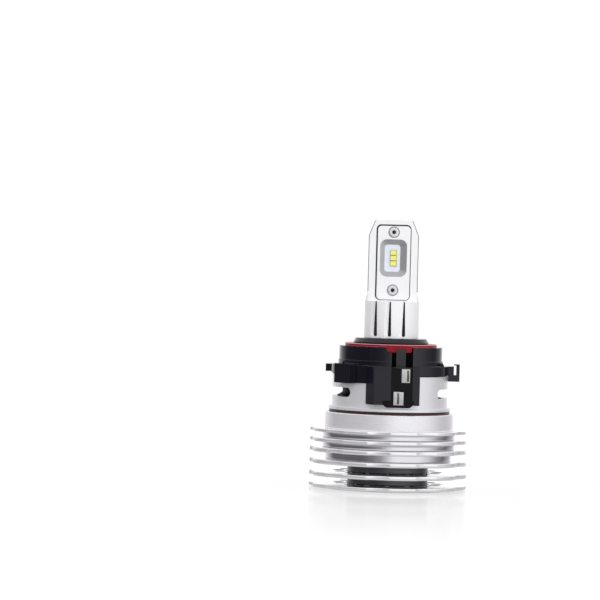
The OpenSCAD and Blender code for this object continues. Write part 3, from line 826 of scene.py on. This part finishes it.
def build_contact(node, body, groove, groove_half):
    """Bowed, plated strip with a pressed groove; its place and half width count from -1 to 1 across."""
    first, last = low(node), high(node)
    width, height = last.x - first.x, last.z - first.z
    columns, rows = 40, 24
    thickness, bow, curl, proud = 0.26, 0.33, 0.05, 0.02
    groove_depth = 0.1
    mesh_data = bmesh.new()
    grid = []
    for j in range(rows + 1):
        v = 2 * j / rows - 1
        line = []
        for i in range(columns + 1):
            u = 2 * i / columns - 1
            dip = groove_depth * math.exp(-((u - groove) / groove_half) ** 2) * (1 - v ** 6)
            y = first.y + proud + bow * v * v + curl * u ** 4 + dip
            line.append(mesh_data.verts.new((first.x + width * (u + 1) / 2, y, first.z + height * (v + 1) / 2)))
        grid.append(line)
    for j in range(rows):
        for i in range(columns):
            face = mesh_data.faces.new((grid[j][i], grid[j][i + 1], grid[j + 1][i + 1], grid[j + 1][i]))
            across = (2 * i + 1) / columns - 1
            # the groove's faces take the darker copy, as painted shade
            face.material_index = 1 if abs(across - groove) < groove_half and 1 < j < rows - 2 else 0
    # The new faces have no normals yet, so this adds a back layer and a rim but no thickness.
    bmesh.ops.solidify(mesh_data, geom=mesh_data.faces[:], thickness=thickness)
    piece = make_piece(node + "_strip", mesh_data, [MATERIAL["contact"], MATERIAL["groove"]], body)
    stand_in(piece, node)


build_contact("upper_contact", "upper_strip", 0.5, 0.27)
build_contact("lower_contact", "lower_strip", -0.1, 0.2)


# ---------------------------------------------------------------- CAD nodes that stay

# What counts as a facet of a round wall: how far it may lean, stand off a circle, face aside and span
WALL_LEAN = 0.05
WALL_OFF_ROUND = 0.00003
WALL_FACING = 0.97
WALL_SPAN = math.radians(9)
# The rib above the contacts, and the channel behind them, mm
RIB_FACE = -15.1
RIB_BOTTOM = 36.0
CHANNEL_X = (0.4, 6.7)
CHANNEL_Y = (-18.35, -13.0)


def wall_normal(polygon, vertices):
    """Radial direction of a facet of a round wall about Z, as 1 or -1, or 0 for any other face."""
    if abs(polygon.normal.z) > WALL_LEAN:
        return 0
    corners = [vertices[i].co.xy for i in polygon.vertices]
    radii = [corner.length for corner in corners]
    facing = polygon.normal.xy.dot(polygon.center.xy.normalized())
    span = max(abs(corners[0].angle_signed(corner)) for corner in corners)
    if max(radii) - min(radii) > WALL_OFF_ROUND or abs(facing) < WALL_FACING or span > WALL_SPAN:
        return 0
    return 1 if facing > 0 else -1


def true_normals(mesh):
    """Shades flat faces flat and round walls round."""
    normals = []
    for polygon in mesh.polygons:
        wall = wall_normal(polygon, mesh.vertices)
        for vertex in polygon.vertices:
            outward = Vector((*mesh.vertices[vertex].co.xy, 0)).normalized()
            normals.append(outward * wall if wall else polygon.normal.copy())
    mesh.normals_split_custom_set(normals)


def build_moulding(node, name, materials, finish):
    """A piece on a copy of a CAD node's mesh, with true normals.

    finish(normal, centre) numbers each face's material.
    """
    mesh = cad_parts[node].data.copy()
    mesh.name = name
    mesh.materials.clear()
    for material in materials:
        mesh.materials.append(material)
    for polygon in mesh.polygons:
        polygon.use_smooth = True
        polygon.material_index = finish(polygon.normal, polygon.center / MM)
    true_normals(mesh)
    piece = bpy.data.objects.new(name, mesh)
    bpy.context.scene.collection.objects.link(piece)
    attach(piece, "adapter")
    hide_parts(node)


def join_flats(piece):
    """Welds the mesh and merges the triangles of each flat face."""
    weld = piece.modifiers.new("weld", "WELD")
    weld.merge_threshold = 1e-6
    merge = piece.modifiers.new("flat_faces", "DECIMATE")
    merge.decimate_type = "DISSOLVE"
    merge.delimit = {"MATERIAL"}
    merge.angle_limit = math.radians(0.5)


def dress(node, material, edge=0.0):
    """Gives a CAD node its material and soft edges."""
    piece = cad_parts[node]
    piece.data.materials.clear()
    piece.data.materials.append(MATERIAL[material])
    for polygon in piece.data.polygons:
        polygon.use_smooth = True
    if edge:
        join_flats(piece)
        soften(piece, edge)
    even_normals(piece)


for node, material, edge in (
    ("driver_sleeve", "sleeve", 0.08), ("stalk", "stalk", 0.08), ("front_led_board", "mask", 0.05),
    ("rear_led_board", "mask", 0.05), ("driver_board", "board", 0.0), ("board_screws", "steel", 0.05),
    ("driver_capacitor", "case", 0.1), ("driver_inductor", "case", 0.05), ("driver_chips", "case", 0.05),
    ("led_leads", "wire", 0.0), ("contact_leads", "wire", 0.0),
):
    dress(node, material, edge)


def carrier_finish(normal, centre):
    """1 for the face of the rib above the contacts, which takes the lighter copy of the plastic as painted light."""
    return 1 if normal.y < -0.9 and centre.y < RIB_FACE and centre.z > RIB_BOTTOM else 0


def adapter_finish(normal, centre):
    """1 for the floor of the channel behind the contacts, which takes a near-black copy of the plastic as painted
    shade.
    """
    inside = CHANNEL_X[0] < centre.x < CHANNEL_X[1] and CHANNEL_Y[0] < centre.y < CHANNEL_Y[1]
    return 1 if inside and normal.y < -0.5 else 0


build_moulding("adapter_ring", "adapter_moulding", [MATERIAL["black"], MATERIAL["channel"]],
               adapter_finish)
build_moulding("contact_carrier", "contact_insert", [MATERIAL["insert"], MATERIAL["rib"]],
               carrier_finish)


# ---------------------------------------------------------------- floor, light, camera

STUDIO_POWER = 1.3
# How bright the floor and the walls look to the camera, and what the table and the ceiling reflect
FLOOR_SEEN = 1.02
WALLS_SEEN = 1.05
TABLE_GREY = 0.32
CEILING_GREY = 0.80
# Compass direction from the front, in degrees, then red and blue, then green
STUDIO_STOPS = (
    (-180, 0.95, 0.95), (-160, 0.88, 0.87), (-138, 0.60, 0.585), (-115, 0.13, 0.125), (-45, 0.11, 0.105),
    (-29, 0.18, 0.175), (-12, 0.32, 0.31), (-2, 0.58, 0.57), (8, 0.86, 0.86), (18, 0.92, 0.92),
    (56, 0.90, 0.90), (76, 0.66, 0.65), (94, 0.32, 0.31),
    (114, 0.15, 0.14), (140, 0.45, 0.435), (160, 0.85, 0.84), (180, 0.95, 0.95),
)


def studio_light(tree, direction):
    """Colour of the studio by compass direction, and the direction's height.

    A bright card stands front right, with grey walls at the sides and white behind.
    """
    split = tree.nodes.new("ShaderNodeSeparateXYZ")
    tree.links.new(direction, split.inputs[0])
    ahead = math_node(tree, "MULTIPLY", split.outputs["Y"], -1.0)
    azimuth = math_node(tree, "ARCTAN2", split.outputs["X"], ahead)
    ramp = tree.nodes.new("ShaderNodeValToRGB")
    tree.links.new(remap(tree, azimuth, 0.0, 1.0, -math.pi, math.pi), ramp.inputs[0])
    elements = ramp.color_ramp.elements
    while len(elements) < len(STUDIO_STOPS):
        elements.new(0.5)
    for element, (degrees, red, green) in zip(elements, STUDIO_STOPS):
        element.position = (degrees + 180) / 360
        element.color = (red, green, red, 1)
    return ramp.outputs["Color"], split.outputs["Z"]


def seen_or_lit(tree, lit, seen):
    """One colour for what the camera sees directly, and another for light and reflections."""
    direct = tree.nodes.new("ShaderNodeLightPath").outputs["Is Camera Ray"]
    choose = add_node(tree, "ShaderNodeMix", data_type="RGBA")
    tree.links.new(direct, choose.inputs[0])
    tree.links.new(lit, choose.inputs[6])
    choose.inputs[7].default_value = (seen, seen, seen, 1)
    return choose.outputs[2]


def build_floor():
    """Plain pale floor, slightly glossy round the bulb."""
    mesh_data = bmesh.new()
    bmesh.ops.create_grid(mesh_data, x_segments=1, y_segments=1, size=3000)
    material, tree, shader = new_material("floor_gloss")
    output = tree.nodes["Material Output"]
    place = tree.nodes.new("ShaderNodeNewGeometry").outputs["Position"]
    colour = studio_light(tree, place)[0]
    far = add_node(tree, "ShaderNodeVectorMath", operation="LENGTH")
    tree.links.new(place, far.inputs[0])
    table = add_node(tree, "ShaderNodeMix", data_type="RGBA")
    tree.links.new(remap(tree, far.outputs["Value"], 0.0, 1.0, 0.06, 0.16), table.inputs[0])
    table.inputs[6].default_value = (TABLE_GREY, TABLE_GREY, TABLE_GREY, 1)
    tree.links.new(colour, table.inputs[7])
    white = add_node(tree, "ShaderNodeEmission", Strength=STUDIO_POWER)
    tree.links.new(seen_or_lit(tree, table.outputs[2], FLOOR_SEEN / STUDIO_POWER), white.inputs["Color"])
    gloss = tree.nodes.new("ShaderNodeBsdfGlossy")
    gloss.inputs["Roughness"].default_value = 0.1
    mix = tree.nodes.new("ShaderNodeMixShader")
    tree.links.new(remap(tree, far.outputs["Value"], 0.34, 0.0, 0.024, 0.2), mix.inputs[0])
    tree.links.new(white.outputs[0], mix.inputs[1])
    tree.links.new(gloss.outputs[0], mix.inputs[2])
    tree.links.new(mix.outputs[0], output.inputs["Surface"])
    tree.nodes.remove(shader)
    floor = make_piece("floor", mesh_data, [material])
    floor.location.z = -0.00002


def build_world():
    """The studio's walls, under a white ceiling."""
    world = bpy.data.worlds.new("studio")
    bpy.context.scene.world = world
    world.use_nodes = True
    tree = world.node_tree
    tree.nodes.clear()
    walls, height = studio_light(tree, tree.nodes.new("ShaderNodeTexCoord").outputs["Generated"])
    ceiling = add_node(tree, "ShaderNodeMix", data_type="RGBA")
    tree.links.new(remap(tree, height, 0.0, 1.0, 0.04, 0.2), ceiling.inputs[0])
    tree.links.new(walls, ceiling.inputs[6])
    ceiling.inputs[7].default_value = (CEILING_GREY, CEILING_GREY, CEILING_GREY, 1)
    background = add_node(tree, "ShaderNodeBackground", Strength=STUDIO_POWER)
    tree.links.new(seen_or_lit(tree, ceiling.outputs[2], WALLS_SEEN / STUDIO_POWER), background.inputs["Color"])
    output = tree.nodes.new("ShaderNodeOutputWorld")
    tree.links.new(background.outputs[0], output.inputs["Surface"])


def add_area(name, size, power, location, target):
    """Soft light aimed at a point, which shows neither to the camera nor in reflections."""
    data = bpy.data.lights.new(name, "AREA")
    data.shape = "RECTANGLE"
    data.size, data.size_y = size
    data.energy = power
    light = bpy.data.objects.new(name, data)
    light.location = location
    light.rotation_mode = "QUATERNION"
    light.rotation_quaternion = (Vector(target) - Vector(location)).to_track_quat("-Z", "Y")
    light.visible_camera = False
    light.visible_glossy = False
    bpy.context.scene.collection.objects.link(light)


def add_camera():
    """Long lens, aimed so that the bulb stands right of the middle, as in the photograph."""
    image = 600
    focal = 3400.0
    distance = 1.041
    height = 0.0741
    aside, down, roll = 92.2, 56.5, math.radians(1.55)
    data = bpy.data.cameras.new("camera")
    data.sensor_width = 36.0
    data.lens = focal / image * data.sensor_width
    data.clip_start = 0.05
    data.clip_end = 20.0
    camera = bpy.data.objects.new("camera", data)
    bpy.context.scene.collection.objects.link(camera)
    turn_left = math.atan(aside / focal)
    tip_down = math.atan(down / focal)
    aim = Matrix.Rotation(turn_left, 3, "Z") @ Matrix.Rotation(math.pi / 2 - tip_down, 3, "X")
    look = aim @ Matrix.Rotation(roll, 3, "Z")
    camera.rotation_mode = "QUATERNION"
    camera.rotation_quaternion = look.to_quaternion()
    camera.location = (0, -distance, height)
    bpy.context.scene.camera = camera


build_floor()
build_world()
add_area("key_softbox", (0.9, 0.9), 1.2, (0.45, -0.9, 0.4), (0, 0, 0.04))
add_area("front_softbox", (0.9, 0.9), 2.0, (-0.55, -1.1, 0.35), (0, 0, 0.06))
add_camera()
bpy.context.scene.view_settings.view_transform = "Standard"
